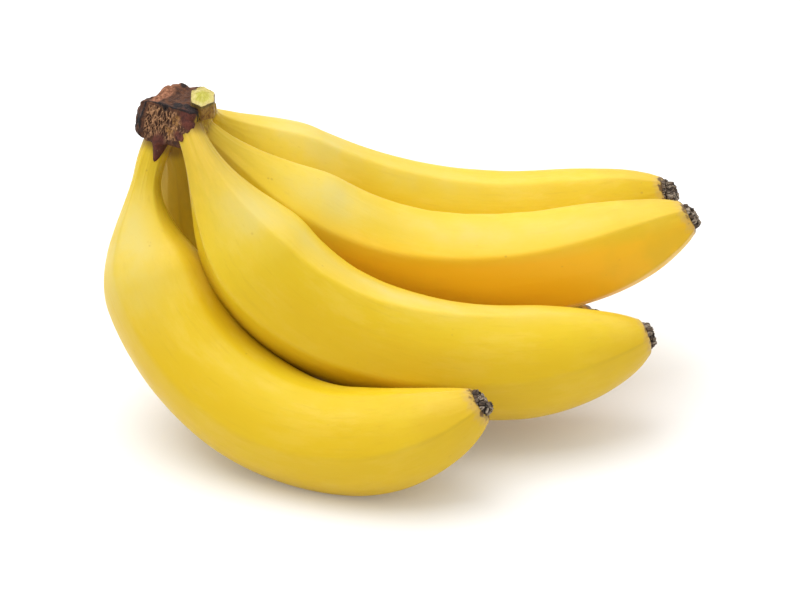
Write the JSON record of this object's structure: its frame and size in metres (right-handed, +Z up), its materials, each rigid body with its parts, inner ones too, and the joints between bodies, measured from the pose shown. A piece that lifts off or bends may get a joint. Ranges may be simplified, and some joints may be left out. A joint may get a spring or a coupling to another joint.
{
  "type": "bunch of bananas",
  "caption": "Cut hand of ripe yellow bananas on one woody brown crown, lying on its outer curves, with dried dark blossom ends and a fresh green cut stub.",
  "frame": {"origin": "on the ground, under the middle of the bunch's bounding box", "axes": "+X from the crown towards the fingers' tips, +Y from the front finger to the back finger, +Z up"},
  "size_m": [0.2254, 0.1642, 0.13],
  "materials": {
    "peel": "ripe banana peel, satin, with faint specks and a green tinge at neck and tip",
    "crown_cork": "dried fibrous brown cork, matte",
    "fresh_cut": "fresh green-yellow plant tissue, moist satin",
    "dried_tip": "dried dark flower remnant, matte"
  },
  "bodies": {
    "root": {"crown": "crown_cork", "cut_pedicel": "fresh_cut", "finger_front": "peel", "finger_second": "peel", "finger_third": "peel", "finger_back": "peel", "finger_under": "peel", "blossom_end_front": "dried_tip", "blossom_end_second": "dried_tip", "blossom_end_third": "dried_tip", "blossom_end_back": "dried_tip", "blossom_end_under": "dried_tip"}
  },
  "joints": []
}
